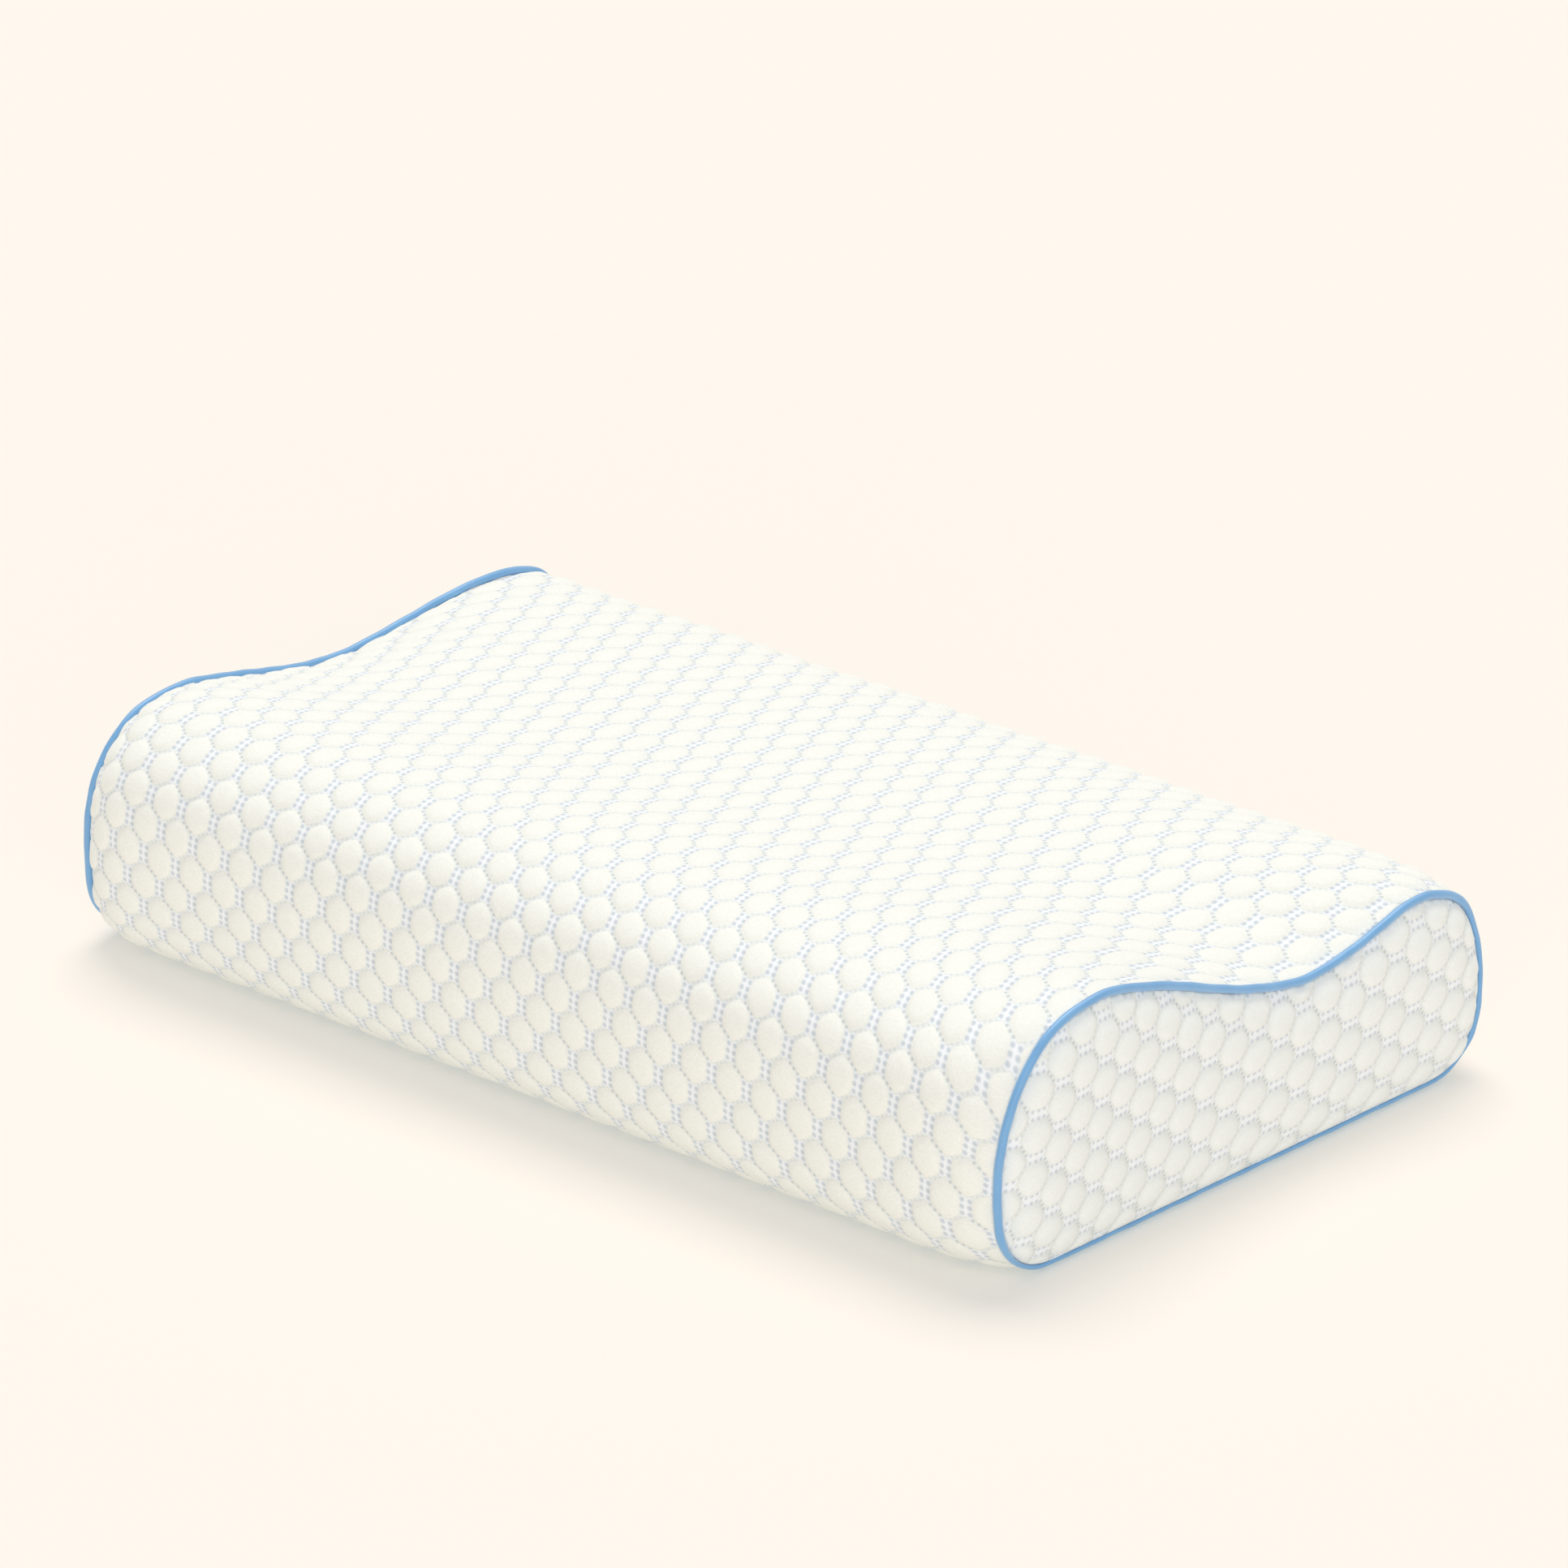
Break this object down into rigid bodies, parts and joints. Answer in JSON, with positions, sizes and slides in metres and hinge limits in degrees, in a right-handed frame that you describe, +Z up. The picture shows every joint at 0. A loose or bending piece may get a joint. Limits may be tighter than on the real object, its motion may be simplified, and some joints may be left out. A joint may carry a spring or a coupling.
{
  "type": "ergonomic pillow",
  "caption": "Contour pillow with a high and a low neck lobe, in a honeycomb knit cover with cord piping round both end panels and a flat underside.",
  "frame": {"origin": "centre of the footprint, on the surface that the pillow rests on", "axes": "+X along the pillow's length, +Y from the high front lobe to the low back lobe, +Z up"},
  "size_m": [0.5122, 0.3054, 0.1068],
  "materials": {
    "cover_knit": "soft matt honeycomb air-layer knit with raised cells",
    "piping_cord": "smooth light blue cord piping with a faint sheen"
  },
  "bodies": {
    "root": {"pillow_body": "cover_knit", "end_panel_left": "cover_knit", "end_panel_right": "cover_knit", "piping_left": "piping_cord", "piping_right": "piping_cord"}
  },
  "joints": []
}
